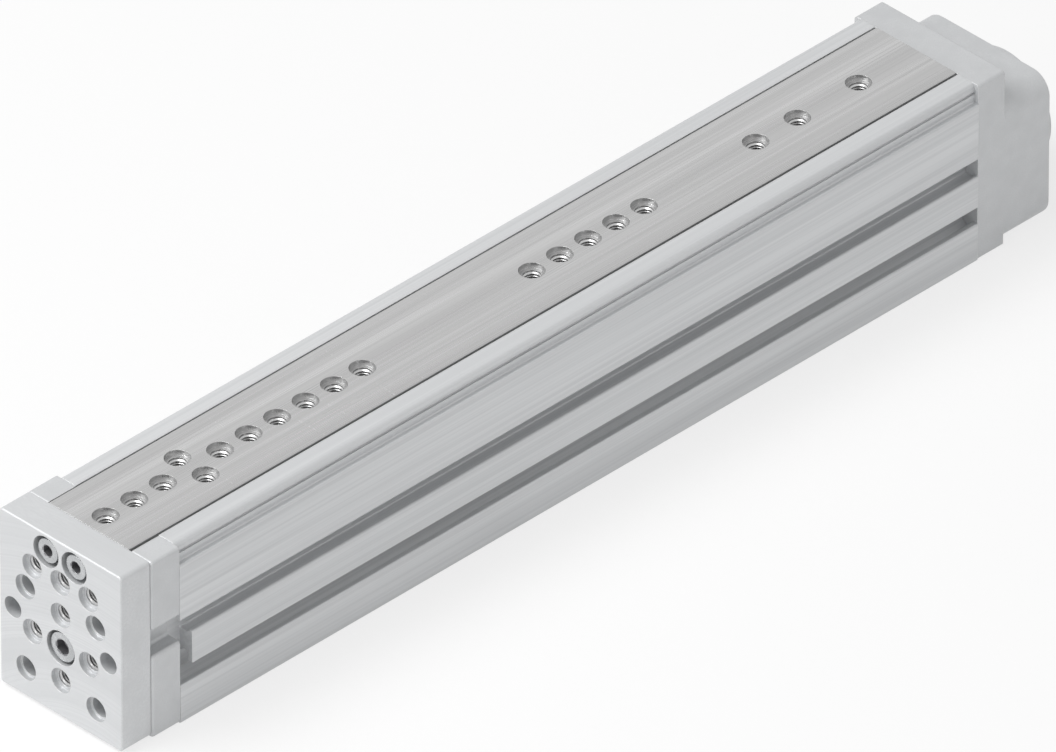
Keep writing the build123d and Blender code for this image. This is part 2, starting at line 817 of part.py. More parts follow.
def bearing_housing_screws():
    """Screws that point forwards: a front screw turned round end for end."""
    seat_x = boss_back_x + rear_screw_counterbore
    length = -half_profile - seat_x + thread_engagement
    screws = []
    for y, z in rear_screws:
        screw = socket_screw(m4, -seat_x, length, y, z)
        screws.append(mirror(screw, Plane.YZ))
    return screws


def bearing_clamp_ring():
    """The ring nut behind the bearings, with two slots for a pin spanner."""
    ring = tube(clamp_ring_back_x, bearing_back_x, clamp_ring_r - seat_gap, clamp_ring_bore_r)
    for sy in (-1, 1):
        ring -= block(
            (clamp_ring_back_x - 1, clamp_ring_back_x + spanner_slot_depth),
            sorted((sy * (clamp_ring_bore_r - 1), sy * (clamp_ring_r + 1))),
            (axis_z - spanner_slot_width / 2, axis_z + spanner_slot_width / 2),
        )
    return ring


def bearing_lock_nut():
    """The slotted round nut that clamps the inner rings on the spindle."""
    nut = tube(clamp_ring_back_x, bearing_back_x, lock_nut_r, journal_r)
    for angle in range(0, 360, 90):
        slot = block(
            (clamp_ring_back_x - 1, bearing_back_x + 1),
            (-lock_nut_slot / 2, lock_nut_slot / 2),
            (lock_nut_r - 1, lock_nut_r + 1),
        )
        nut -= Pos(0, 0, axis_z) * Rot(angle, 0, 0) * slot
    return nut


# Buffers at both ends of the bore
def buffer_ring(low, bore):
    outer = bore_r - seat_gap
    ring = tube(low, low + buffer_length, outer, bore)
    return chamfer(ring.edges().filter_by(GeomType.CIRCLE).sort_by(Edge.length.fget)[-2:], buffer_edge)


def rear_buffer():
    return buffer_ring(-half_profile, rear_buffer_bore_r)


def front_buffer():
    return buffer_ring(front_buffer_x, front_buffer_bore_r)


def all_parts():
    """Every node's name with its solid, or its list of separate solids."""
    inserts = both_sides(guide_insert())
    ball_rows = [both_sides(ball) for ball in guide_balls()]
    return {
        "housing_profile": housing_profile(),
        "guide_insert_left": inserts[0],
        "guide_insert_right": inserts[1],
        "guide_deflectors": guide_deflectors(),
        "guide_balls_left": [row[0] for row in ball_rows],
        "guide_balls_right": [row[1] for row in ball_rows],
        "front_cap": front_cap(),
        "front_cap_screws": front_cap_screws(),
        "slide_wiper": slide_wiper(),
        "rod_bush": rod_bush(),
        "rod_wiper": rod_wiper(),
        "front_buffer": front_buffer(),
        "rear_buffer": rear_buffer(),
        "bearing_housing": bearing_housing(),
        "bearing_housing_screws": bearing_housing_screws(),
        "bearing_clamp_ring": bearing_clamp_ring(),
        "bearing_outer_rings": bearing_rings(bearing_r, outer_ring_bore_r),
        "slide_table": slide_table(),
        "yoke_plate": yoke_plate(),
        "table_screws": table_screws(),
        "push_rod": push_rod(),
        "rod_plug": rod_plug(),
        "rod_screw": rod_screw(),
        "nut_carrier": nut_carrier(),
        "nut_retainer": nut_retainer(),
        "spindle_nut": spindle_nut(),
        "nut_end_caps": nut_end_caps(),
        "carrier_guide_rings": carrier_guide_rings(),
        "position_magnet": position_magnet(),
        "spindle": spindle(),
        "spindle_support_ring": spindle_support_ring(),
        "support_retaining_ring": support_retaining_ring(),
        "bearing_inner_rings": bearing_rings(inner_ring_r, journal_r),
        "bearing_lock_nut": bearing_lock_nut(),
        "bearing_cages": bearing_cages(),
        "bearing_balls": bearing_balls(),
    }


os.makedirs("parts", exist_ok=True)
for node, shape in all_parts().items():
    if isinstance(shape, list):
        shape = Compound(children=[solid for piece in shape for solid in piece.solids()])
    export_step(shape, f"parts/{node}.step")
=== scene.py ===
"""Looks of a miniature linear slide: its finishes, threads, screws and balls, the light and camera.

Metres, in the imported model's frame: X towards the yoke plate, Y to the left, Z up.
"""
import math

import bmesh
import bpy
import numpy as np
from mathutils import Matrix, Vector


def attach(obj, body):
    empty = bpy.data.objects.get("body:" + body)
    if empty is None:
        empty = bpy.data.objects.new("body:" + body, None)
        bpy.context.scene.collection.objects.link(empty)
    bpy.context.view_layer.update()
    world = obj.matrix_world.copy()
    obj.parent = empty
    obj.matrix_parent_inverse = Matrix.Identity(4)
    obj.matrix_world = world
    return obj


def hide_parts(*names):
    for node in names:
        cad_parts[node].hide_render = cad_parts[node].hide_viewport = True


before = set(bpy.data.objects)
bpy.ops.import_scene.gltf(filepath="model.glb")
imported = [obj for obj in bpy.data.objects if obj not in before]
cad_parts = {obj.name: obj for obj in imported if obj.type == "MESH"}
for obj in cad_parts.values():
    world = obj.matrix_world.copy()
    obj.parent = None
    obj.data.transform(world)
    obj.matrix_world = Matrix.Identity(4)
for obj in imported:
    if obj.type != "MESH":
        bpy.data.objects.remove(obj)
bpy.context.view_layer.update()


# Housing profile. An aluminium bar pressed through a die, cut to length and clear anodised.
# The die leaves fine lines along it, and the anodised skin is matt and a little cloudy.
def add_node(tree, kind, inputs=None, **settings):
    """Adds a shader node. A socket in inputs is linked to the input of that name, and a value is
    written to it."""
    made = tree.nodes.new(kind)
    for key, value in settings.items():
        setattr(made, key, value)
    for key, value in (inputs or {}).items():
        if isinstance(value, bpy.types.NodeSocket):
            tree.links.new(value, made.inputs[key])
        else:
            made.inputs[key].default_value = value
    return made


def new_group(name, inputs, outputs):
    """Starts a node group from (name, socket type, default) inputs and (name, socket type)
    outputs."""
    group = bpy.data.node_groups.new(name, "ShaderNodeTree")
    for label, kind, default in inputs:
        socket = group.interface.new_socket(label, in_out="INPUT", socket_type=kind)
        if default is not None:
            socket.default_value = default
    for label, kind in outputs:
        group.interface.new_socket(label, in_out="OUTPUT", socket_type=kind)
    return group, add_node(group, "NodeGroupInput"), add_node(group, "NodeGroupOutput")


def tool_lines_group():
    """Long fine lines: noise whose coordinates are pressed together along the tool's way.

    Stretch is small along the lines. Turned 1 bends the lines into circles round a line along X
    through Axis: the coordinates are then the place along X and the distance from that line. Lines
    has the fine ones, Bands the broad cloudy ones."""
    group, start, end = new_group(
        "Tool lines",
        [("Vector", "NodeSocketVector", None), ("Stretch", "NodeSocketVector", (0.01, 1, 1)),
         ("Density", "NodeSocketFloat", 900.0), ("Turned", "NodeSocketFloat", 0.0),
         ("Axis", "NodeSocketVector", (0, 0, 0))],
        [("Lines", "NodeSocketFloat"), ("Bands", "NodeSocketFloat")],
    )
    from_axis = add_node(group, "ShaderNodeVectorMath",
                         {0: start.outputs["Vector"], 1: start.outputs["Axis"]},
                         operation="SUBTRACT")
    square_on = add_node(group, "ShaderNodeVectorMath",
                         {0: from_axis.outputs[0], 1: (0, 1, 1)}, operation="MULTIPLY")
    distance = add_node(group, "ShaderNodeVectorMath",
                        {0: square_on.outputs[0]}, operation="LENGTH")
    place = add_node(group, "ShaderNodeSeparateXYZ", {0: start.outputs["Vector"]})
    circled = add_node(group, "ShaderNodeCombineXYZ",
                       {"X": place.outputs["X"], "Y": distance.outputs["Value"]})
    bent = add_node(group, "ShaderNodeMix",
                    {"Factor": start.outputs["Turned"], 4: start.outputs["Vector"],
                     5: circled.outputs[0]},
                    data_type="VECTOR")
    along = add_node(group, "ShaderNodeVectorMath",
                     {0: bent.outputs[1], 1: start.outputs["Stretch"]}, operation="MULTIPLY")
    fine = add_node(group, "ShaderNodeTexNoise",
                    {"Vector": along.outputs[0], "Scale": start.outputs["Density"],
                     "Detail": 3.0, "Roughness": 0.65})
    spread = add_node(group, "ShaderNodeMapRange",
                      {"Value": fine.outputs[0], "From Min": 0.3, "From Max": 0.7})
    slower = add_node(group, "ShaderNodeMath",
                      {0: start.outputs["Density"], 1: 0.09}, operation="MULTIPLY")
    broad = add_node(group, "ShaderNodeTexNoise",
                     {"Vector": along.outputs[0], "Scale": slower.outputs[0], "Detail": 2.0})
    cloudy = add_node(group, "ShaderNodeMapRange",
                      {"Value": broad.outputs[0], "From Min": 0.3, "From Max": 0.7})
    group.links.new(spread.outputs[0], end.inputs["Lines"])
    group.links.new(cloudy.outputs[0], end.inputs["Bands"])
    return group


def handling_marks_group():
    """Sparse fine scratches: thin cell borders of two stretched patterns, kept in some places."""
    group, start, end = new_group(
        "Handling marks",
        [("Vector", "NodeSocketVector", None), ("Density", "NodeSocketFloat", 60.0)],
        [("Marks", "NodeSocketFloat")],
    )
    found = []
    for turn, stretch in (((0.3, 0.5, 0.9), (0.12, 1.0, 1.0)),
                          ((1.1, -0.4, 0.2), (1.0, 0.1, 1.0))):
        turned = add_node(group, "ShaderNodeMapping",
                          {"Vector": start.outputs["Vector"], "Rotation": turn, "Scale": stretch})
        cells = add_node(group, "ShaderNodeTexVoronoi",
                         {"Vector": turned.outputs[0], "Scale": start.outputs["Density"]},
                         feature="DISTANCE_TO_EDGE")
        thin = add_node(group, "ShaderNodeMapRange",
                        {"Value": cells.outputs["Distance"], "From Max": 0.012,
                         "To Min": 1.0, "To Max": 0.0})
        found.append(thin.outputs[0])
    both = add_node(group, "ShaderNodeMath", {0: found[0], 1: found[1]}, operation="MAXIMUM")
    patches = add_node(group, "ShaderNodeTexNoise",
                       {"Vector": start.outputs["Vector"], "Scale": start.outputs["Density"],
                        "Detail": 2.0})
    where = add_node(group, "ShaderNodeMapRange",
                     {"Value": patches.outputs[0], "From Min": 0.52, "From Max": 0.66})
    kept = add_node(group, "ShaderNodeMath",
                    {0: both.outputs[0], 1: where.outputs[0]}, operation="MULTIPLY")
    group.links.new(kept.outputs[0], end.inputs["Marks"])
    return group


def broken_edges_group():
    """Deburred edges: Normal turns smoothly over each edge, and Edge is 1 where it differs from
    the flat face."""
    group, start, end = new_group(
        "Broken edges",
        [("Radius", "NodeSocketFloat", 0.0002)],
        [("Normal", "NodeSocketVector"), ("Edge", "NodeSocketFloat")],
    )
    rounded = add_node(group, "ShaderNodeBevel", {"Radius": start.outputs["Radius"]}, samples=4)
    face = add_node(group, "ShaderNodeNewGeometry")
    same = add_node(group, "ShaderNodeVectorMath",
                    {0: rounded.outputs[0], 1: face.outputs["Normal"]}, operation="DOT_PRODUCT")
    edge = add_node(group, "ShaderNodeMapRange",
                    {"Value": same.outputs["Value"], "From Min": 0.97, "From Max": 0.75})
    group.links.new(rounded.outputs[0], end.inputs["Normal"])
    group.links.new(edge.outputs[0], end.inputs["Edge"])
    return group


tool_lines = tool_lines_group()
handling_marks = handling_marks_group()
broken_edges = broken_edges_group()


def worked_surface(name, light, dark, edge, metallic, roughness, spread,
                   stretch=(1, 1, 1), density=900.0, relief=0.1, marks=0.0, edge_radius=0.00025,
                   turned_about=None):
    """A surface left by a tool: colour, roughness and relief follow its lines, and its edges are
    broken.

    light and dark are its colours on and between the lines, edge the lighter colour on every broken
    edge, partly where it is rubbed bare and partly a painted highlight. turned_about is the (y, z)
    of the line round which the tool or the piece turned, if its lines are circles."""
    made = bpy.data.materials.new(name)
    made.use_nodes = True
    tree = made.node_tree
    shader = tree.nodes["Principled BSDF"]
    shader.inputs["Metallic"].default_value = metallic
    place = add_node(tree, "ShaderNodeTexCoord").outputs["Object"]
    lines = add_node(tree, "ShaderNodeGroup", node_tree=tool_lines)
    tree.links.new(place, lines.inputs["Vector"])
    lines.inputs["Stretch"].default_value = stretch
    lines.inputs["Density"].default_value = density
    if turned_about:
        lines.inputs["Turned"].default_value = 1.0
        lines.inputs["Axis"].default_value = (0, *turned_about)
    edges = add_node(tree, "ShaderNodeGroup", node_tree=broken_edges)
    edges.inputs["Radius"].default_value = edge_radius
    mixed = add_node(tree, "ShaderNodeMath",
                     {0: lines.outputs["Lines"], 1: lines.outputs["Bands"]}, operation="MULTIPLY")
    tone = add_node(tree, "ShaderNodeMix", data_type="RGBA")
    tone.inputs[6].default_value = (*dark, 1)
    tone.inputs[7].default_value = (*light, 1)
    even = add_node(tree, "ShaderNodeMapRange", {"Value": mixed.outputs[0], "From Max": 0.6})
    tree.links.new(even.outputs[0], tone.inputs[0])
    # Every broken edge is mixed towards the lighter edge colour: partly bare metal where it is
    # rubbed, partly a painted highlight along the edge.
    worn_edge_and_painted_highlight = add_node(tree, "ShaderNodeMix", data_type="RGBA")
    tree.links.new(edges.outputs["Edge"], worn_edge_and_painted_highlight.inputs[0])
    tree.links.new(tone.outputs[2], worn_edge_and_painted_highlight.inputs[6])
    worn_edge_and_painted_highlight.inputs[7].default_value = (*edge, 1)
    tree.links.new(worn_edge_and_painted_highlight.outputs[2], shader.inputs["Base Color"])
    rough = add_node(tree, "ShaderNodeMapRange",
                     {"Value": lines.outputs["Lines"],
                      "To Min": roughness + spread, "To Max": roughness - spread})
    rough_out, height = rough.outputs[0], lines.outputs["Lines"]
    if marks:
        scratched = add_node(tree, "ShaderNodeGroup", node_tree=handling_marks)
        tree.links.new(place, scratched.inputs["Vector"])
        faint = add_node(tree, "ShaderNodeMath",
                         {0: scratched.outputs["Marks"], 1: marks}, operation="MULTIPLY").outputs[0]
        rough_out = add_node(tree, "ShaderNodeMath",
                             {0: rough_out, 1: faint}, operation="ADD").outputs[0]
        height = add_node(tree, "ShaderNodeMath",
                          {0: height, 1: faint}, operation="SUBTRACT").outputs[0]
    tree.links.new(rough_out, shader.inputs["Roughness"])
    bump = add_node(tree, "ShaderNodeBump",
                    {"Height": height, "Normal": edges.outputs["Normal"], "Strength": relief,
                     "Distance": 0.00004})
    tree.links.new(bump.outputs[0], shader.inputs["Normal"])
    return made


def paint(material, *nodes):
    """Gives CAD nodes a material, in every slot of their objects."""
    for name in nodes:
        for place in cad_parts[name].material_slots:
            place.material = material


anodised_extrusion = worked_surface(
    "anodised extrusion", light=(0.70, 0.71, 0.72), dark=(0.60, 0.61, 0.62),
    edge=(0.86, 0.86, 0.86), metallic=0.35, roughness=0.42, spread=0.07, stretch=(0.006, 1, 1),
    density=850.0, relief=0.25, marks=0.12, edge_radius=0.0003)
paint(anodised_extrusion, "housing_profile")


# Ball guides. Two hardened inserts in the walls of the channel, ground along their tracks, each
# with a full row of balls between moulded end pieces that turn them round into a return bore.
hardened_insert = worked_surface(
    "hardened insert", light=(0.58, 0.58, 0.57), dark=(0.44, 0.44, 0.43), edge=(0.75, 0.75, 0.74),
    metallic=0.95, roughness=0.22, spread=0.05, stretch=(0.01, 1, 1), density=1500.0, relief=0.12)
paint(hardened_insert, "guide_insert_left", "guide_insert_right")
moulded_green = worked_surface(
    "moulded green", light=(0.07, 0.14, 0.10), dark=(0.05, 0.11, 0.075), edge=(0.11, 0.19, 0.145),
    metallic=0.0, roughness=0.42, spread=0.05, density=2600.0, relief=0.08)
paint(moulded_green, "guide_deflectors")


def closed_skin(name, points, faces, sharp_above=35.0):
    """Makes a mesh object whose faces point outwards, smooth but for edges sharper than the given
    angle.

    The signed volume, a sixth of the sum of a . (b x c) over the faces' triangles, tells which way
    they point."""
    faces = np.asarray(faces)
    corners = points[faces]
    volume = 0.0
    for i in range(1, faces.shape[1] - 1):
        volume += np.einsum("ij,ij->", corners[:, 0], np.cross(corners[:, i], corners[:, i + 1]))
    if volume < 0:
        faces = faces[:, ::-1]
    mesh = bpy.data.meshes.new(name)
    rows = [tuple(dict.fromkeys(row)) for row in faces.tolist()]
    mesh.from_pydata(points.tolist(), [], rows)
    mesh.polygons.foreach_set("use_smooth", np.ones(len(mesh.polygons), bool))
    mesh.set_sharp_from_angle(angle=math.radians(sharp_above))
    made = bpy.data.objects.new(name, mesh)
    bpy.context.scene.collection.objects.link(made)
    return made


def turned_skin(along, radius):
    """Points and faces of a closed turned surface about X.

    along and radius have a row for each station and a column for each angle: a point lies at
    (along, radius cos angle, radius sin angle). The first and the last row are closed to a point
    each on the axis."""
    stations, sides = radius.shape
    angle = 2 * np.pi * np.arange(sides) / sides
    along = np.broadcast_to(along, radius.shape)
    rings = np.stack([along, radius * np.cos(angle), radius * np.sin(angle)], axis=-1)
    poles = np.array([[along[0].mean(), 0, 0], [along[-1].mean(), 0, 0]])
    row, column = np.meshgrid(np.arange(stations - 1), np.arange(sides), indexing="ij")
    here = row * sides + column
    beside = row * sides + (column + 1) % sides
    walls = np.stack([here, beside, beside + sides, here + sides], axis=-1).reshape(-1, 4)
    ring = np.arange(sides)
    ahead = (ring + 1) % sides
    first, last = stations * sides, stations * sides + 1
    top = (stations - 1) * sides
    caps = np.concatenate([
        np.stack([np.full(sides, first), ahead, ring, ring], axis=-1),
        np.stack([np.full(sides, last), top + ring, top + ahead, top + ahead], axis=-1),
    ])
    return np.concatenate([rings.reshape(-1, 3), poles]), np.concatenate([walls, caps])


def copies(points, faces, places):
    """The same skin at several places, as one set of points and faces."""
    places = np.asarray(places, float)
    moved = (points[None] + places[:, None]).reshape(-1, 3)
    first = len(points) * np.arange(len(places))
    return moved, (faces[None] + first[:, None, None]).reshape(-1, faces.shape[1])


def ball_skin(radius, sides=28):
    """A ball: the station at latitude t lies at -radius cos t and has the radius radius sin t."""
    latitude = np.linspace(0, np.pi, sides // 2 + 1)[1:-1, None]
    return turned_skin(-radius * np.cos(latitude), radius * np.sin(latitude) * np.ones((1, sides)))


bearing_ball_finish = worked_surface(
    "polished ball", light=(0.72, 0.72, 0.72), dark=(0.66, 0.66, 0.66), edge=(0.72, 0.72, 0.72),
    metallic=1.0, roughness=0.08, spread=0.02, density=2500.0, relief=0.01)
guide_ball_r, guide_ball_x, guide_ball_y, guide_ball_z = 0.0015, (0.0257, 0.1303), 0.0145, 0.0468
guide_ball_count = 35
for side, sign in (("left", 1), ("right", -1)):
    row = [(x, sign * guide_ball_y, guide_ball_z)
           for x in np.linspace(*guide_ball_x, guide_ball_count)]
    balls = closed_skin(f"guide_balls_round_{side}", *copies(*ball_skin(guide_ball_r), row))
    balls.data.materials.append(bearing_ball_finish)
    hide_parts(f"guide_balls_{side}")
    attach(balls, "housing")


# Threaded holes. Eight M5 threads in the underside fasten the housing to what carries it.
# Each is a ridge of 60 degrees that a tap leaves in the wall of the drilled hole.
def thread_ridge(length, radius=0.0025, pitch=0.0008, depth=0.00043, steps=28):
    """The ridge of a tapped thread, as (across 1, across 2, along) points of a closed strip.

    The strip's section has four corners, two a little inside the wall, by root, and two at the
    crest. At turn angle a it lies a / 2 pi pitches along the hole, and over the first and the last
    half turn it runs out into the wall."""
    turns, root = length / pitch - 1, 0.00004
    angle = np.linspace(0, 2 * np.pi * turns, int(turns * steps) + 1)
    run_out = np.clip(np.minimum(angle, angle[-1] - angle) / np.pi, 0.05, 1)
    flank, crest = 0.46 * pitch, 0.09 * pitch
    inward = np.array([0, 1, 1, 0])
    sideways = np.array([-flank, -crest, crest, flank])
    across = radius + root - inward * (depth + root) * run_out[:, None]
    along = pitch * (angle / (2 * np.pi) + 0.5)[:, None]
    along = along + sideways * np.where(inward, 1, run_out[:, None])
    points = np.stack([across * np.cos(angle)[:, None], across * np.sin(angle)[:, None], along],
                      axis=-1)
    row, corner = np.meshgrid(np.arange(len(angle) - 1), np.arange(4), indexing="ij")
    here, beside = row * 4 + corner, row * 4 + (corner + 1) % 4
    sides = np.stack([here, beside, beside + 4, here + 4], axis=-1).reshape(-1, 4)
    last = 4 * (len(angle) - 1)
    ends = np.array([[3, 2, 1, 0], [last, last + 1, last + 2, last + 3]])
    return points.reshape(-1, 3), np.concatenate([sides, ends])


cut_thread = worked_surface(
    "cut thread", light=(0.62, 0.62, 0.62), dark=(0.50, 0.50, 0.50), edge=(0.78, 0.78, 0.78),
    metallic=0.85, roughness=0.3, spread=0.06, density=1800.0, relief=0.1, edge_radius=0.00008)
base_thread_length, base_hole_x, base_hole_y = 0.008, (0.1, 0.05), 0.01
ridge, strips = thread_ridge(base_thread_length)
base_places = [(sx * x, sy * base_hole_y, 0)
               for x in base_hole_x for sx in (-1, 1) for sy in (-1, 1)]
base_threads = closed_skin("base_threads", *copies(ridge, strips, base_places), sharp_above=20)
base_threads.data.materials.append(cut_thread)
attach(base_threads, "housing")


# Bearing housing. Plate, boss and collar milled from one block and clear anodised like the caps.
# Its surface has the even matt grain of a finely blasted part, and the collar's end has only its
# burr taken off, so that its rim stands out beyond the boss.
blasted_anodised = worked_surface(
    "blasted anodised", light=(0.63, 0.64, 0.65), dark=(0.59, 0.60, 0.61), edge=(0.84, 0.84, 0.84),
    metallic=0.35, roughness=0.45, spread=0.05, density=2400.0, relief=0.18, marks=0.06,
    edge_radius=0.0003)
paint(blasted_anodised, "front_cap")
axis_z = 0.022
collar_end_x, collar_r, wide_chamfer, burr_cut = -0.175, 0.016, 0.0006, 0.0001


def sharp_collar_skin(name, source, reach=1e-5):
    """The bearing housing's triangles, joined, with a smaller chamfer round the collar's end.

    The chamfer lies between two circles round the collar's axis. The one on its side moves along to
    burr_cut from the end, and the one on its end face grows to burr_cut less than the collar's
    radius. A point within reach of a circle belongs to it. Each corner keeps its normal, because
    the cone between the circles keeps its slope."""
    normals = np.empty(3 * len(source.loops), np.float32)
    source.corner_normals.foreach_get("vector", normals)
    joined = bmesh.new()
    joined.from_mesh(source)
    bmesh.ops.remove_doubles(joined, verts=joined.verts, dist=1e-6)
    made = bpy.data.meshes.new(name)
    joined.to_mesh(made)
    joined.free()
    points = np.empty(3 * len(made.vertices), np.float32)
    made.vertices.foreach_get("co", points)
    points = points.reshape(-1, 3)
    from_end = points[:, 0] - collar_end_x
    from_axis = np.hypot(points[:, 1], points[:, 2] - axis_z)
    on_side = (np.abs(from_end - wide_chamfer) < reach) & (np.abs(from_axis - collar_r) < reach)
    on_end = (np.abs(from_end) < reach) & (np.abs(from_axis - collar_r + wide_chamfer) < reach)
    points[on_side, 0] = collar_end_x + burr_cut
    grown = (collar_r - burr_cut) / (collar_r - wide_chamfer)
    points[on_end, 1:] = (0, axis_z) + (points[on_end, 1:] - (0, axis_z)) * grown
    made.vertices.foreach_set("co", points.ravel())
    made.normals_split_custom_set(normals.reshape(-1, 3))
    return made


milled_skin = sharp_collar_skin("bearing_housing_milled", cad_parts["bearing_housing"].data)
milled_housing = bpy.data.objects.new("bearing_housing_milled", milled_skin)
bpy.context.scene.collection.objects.link(milled_housing)
milled_skin.materials.append(blasted_anodised)
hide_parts("bearing_housing")
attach(milled_housing, "housing")


# Bearings. Two rows of balls between ground rings, in a brass cage, held by two slotted ring nuts.
# They can be seen through the collar, round the drive shaft.
ground_ring = worked_surface(
    "ground ring", light=(0.66, 0.66, 0.66), dark=(0.54, 0.54, 0.54), edge=(0.80, 0.80, 0.80),
    metallic=1.0, roughness=0.18, spread=0.05, density=1600.0, relief=0.08,
    turned_about=(0, axis_z))
paint(ground_ring, "bearing_outer_rings", "bearing_inner_rings")
turned_brass = worked_surface(
    "turned brass", light=(0.70, 0.50, 0.20), dark=(0.55, 0.38, 0.14), edge=(0.82, 0.62, 0.30),
    metallic=1.0, roughness=0.3, spread=0.06, density=1500.0, relief=0.08, turned_about=(0, axis_z))
paint(turned_brass, "bearing_cages")
blackened_steel = worked_surface(
    "blackened steel", light=(0.055, 0.055, 0.06), dark=(0.03, 0.03, 0.034),
    edge=(0.22, 0.22, 0.22), metallic=0.7, roughness=0.38, spread=0.08, density=1500.0,
    relief=0.12, edge_radius=0.0002, turned_about=(0, axis_z))
paint(blackened_steel, "bearing_clamp_ring", "bearing_lock_nut", "support_retaining_ring")
bearing_ball_r, bearing_pitch_r, bearing_ball_count = 0.0019, 0.0075, 7
bearing_middles = (-0.1615, -0.1545)
around = 2 * np.pi * np.arange(bearing_ball_count) / bearing_ball_count
ball_places = [
    (x, bearing_pitch_r * math.cos(a), axis_z + bearing_pitch_r * math.sin(a))
    for x in bearing_middles for a in around
]
bearing_balls = closed_skin("bearing_balls_round",
                            *copies(*ball_skin(bearing_ball_r), ball_places))
bearing_balls.data.materials.append(bearing_ball_finish)
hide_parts("bearing_balls")
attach(bearing_balls, "bearing_cage")


# Spindle. A ground ball screw of 10 mm diameter and 10 mm lead, turned down at both ends.
# Its rear journal carries the bearings and ends in the plain drive shaft.
def spindle_skin(stations, groove, lead=0.010, track_r=0.00105, track_centre=0.0052, sides=48,
                 step=0.0004):
    """The spindle from (x, radius) stations, with a helical ball track between the groove's two x.

    At distance d from the middle of the track, measured square to it, the track lies at radius
    track_centre - sqrt(track_r^2 - d^2), where that is less than the bar's own radius."""
    x = np.array([p[0] for p in stations])
    bar = np.array([p[1] for p in stations])
    inside = np.arange(groove[0] + step, groove[1], step)
    first = np.searchsorted(x, groove[0], side="right")
    x = np.concatenate([x[:first], inside, x[first:]])
    bar = np.concatenate([bar[:first], np.full(len(inside), bar[first - 1]), bar[first:]])
    angle = 2 * np.pi * np.arange(sides) / sides
    phase = x[:, None] / lead - angle / (2 * np.pi)
    lead_angle = math.atan(lead / (2 * math.pi * bar.max()))
    away = (phase - np.round(phase)) * lead * math.cos(lead_angle)
    track = track_centre - np.sqrt(np.maximum(track_r ** 2 - away ** 2, 0))
    cut = ((x > groove[0]) & (x < groove[1]))[:, None] & (np.abs(away) < track_r)
    radius = np.where(cut, np.minimum(track, bar[:, None]), bar[:, None] * np.ones(sides))
    return turned_skin(x[:, None], radius)


spindle_stations = [
    (-0.1850, 0.0010), (-0.1844, 0.0011), (-0.1850, 0.0022), (-0.1850, 0.0026), (-0.1846, 0.0030),
    (-0.1700, 0.0030), (-0.1700, 0.0036), (-0.1696, 0.0040), (-0.1510, 0.0040), (-0.1510, 0.0050),
    (0.1185, 0.0050), (0.1185, 0.0035), (0.1245, 0.0035), (0.1245, 0.0030), (0.1253, 0.0030),
    (0.1253, 0.0035), (0.1265, 0.0035), (0.1269, 0.0031),
]
track_ends = (-0.1410, 0.1120)
points, faces = spindle_skin(spindle_stations, track_ends)
spindle = closed_skin("ball_screw_spindle", points + [0, 0, axis_z], faces)
ground_spindle = worked_surface(
    "ground spindle", light=(0.64, 0.64, 0.64), dark=(0.52, 0.52, 0.52), edge=(0.80, 0.80, 0.80),
    metallic=1.0, roughness=0.2, spread=0.05, density=2200.0, relief=0.1, turned_about=(0, axis_z))
spindle.data.materials.append(ground_spindle)
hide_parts("spindle")
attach(spindle, "spindle")
paint(ground_ring, "spindle_support_ring")


# Ball nut and its carrier. The nut runs on the spindle inside a carrier that slides in the bore
# on two guide rings, and the magnet on the carrier is what the sensors in the side slots feel.
paint(ground_ring, "spindle_nut")
turned_aluminium = worked_surface(
    "turned aluminium", light=(0.72, 0.73, 0.74), dark=(0.60, 0.61, 0.62), edge=(0.84, 0.84, 0.84),
    metallic=0.8, roughness=0.32, spread=0.06, density=1600.0, relief=0.14,
    turned_about=(0, axis_z))
paint(turned_aluminium, "nut_carrier", "nut_retainer", "rod_plug")
paint(moulded_green, "nut_end_caps")
dry_running_ring = worked_surface(
    "dry running ring", light=(0.12, 0.11, 0.10), dark=(0.075, 0.07, 0.065),
    edge=(0.19, 0.18, 0.17), metallic=0.0, roughness=0.5, spread=0.08, density=1800.0, relief=0.1,
    turned_about=(0, axis_z))
paint(dry_running_ring, "carrier_guide_rings", "rod_bush")
sintered_magnet = worked_surface(
    "sintered magnet", light=(0.20, 0.20, 0.21), dark=(0.13, 0.13, 0.14), edge=(0.34, 0.34, 0.35),
    metallic=0.6, roughness=0.4, spread=0.06, density=1800.0, relief=0.12)
paint(sintered_magnet, "position_magnet")


# Push rod. A hard chromed steel tube round the spindle, ground and polished between centres,
# which leaves very fine lines round it.
hard_chrome = worked_surface(
    "hard chrome", light=(0.70, 0.71, 0.73), dark=(0.66, 0.67, 0.69), edge=(0.78, 0.79, 0.80),
    metallic=1.0, roughness=0.14, spread=0.03, density=1800.0, relief=0.02,
    turned_about=(0, axis_z))
paint(hard_chrome, "push_rod")


# Buffers and wipers. Rings of black rubber stop the carrier softly at both ends, and wipers of
# the same kind lie round the rod and the slide in the front cap.
black_rubber = worked_surface(
    "black rubber", light=(0.035, 0.035, 0.035), dark=(0.02, 0.02, 0.02), edge=(0.06, 0.06, 0.06),
    metallic=0.0, roughness=0.62, spread=0.08, density=1900.0, relief=0.2)
paint(black_rubber, "front_buffer", "rear_buffer", "rod_wiper", "slide_wiper")


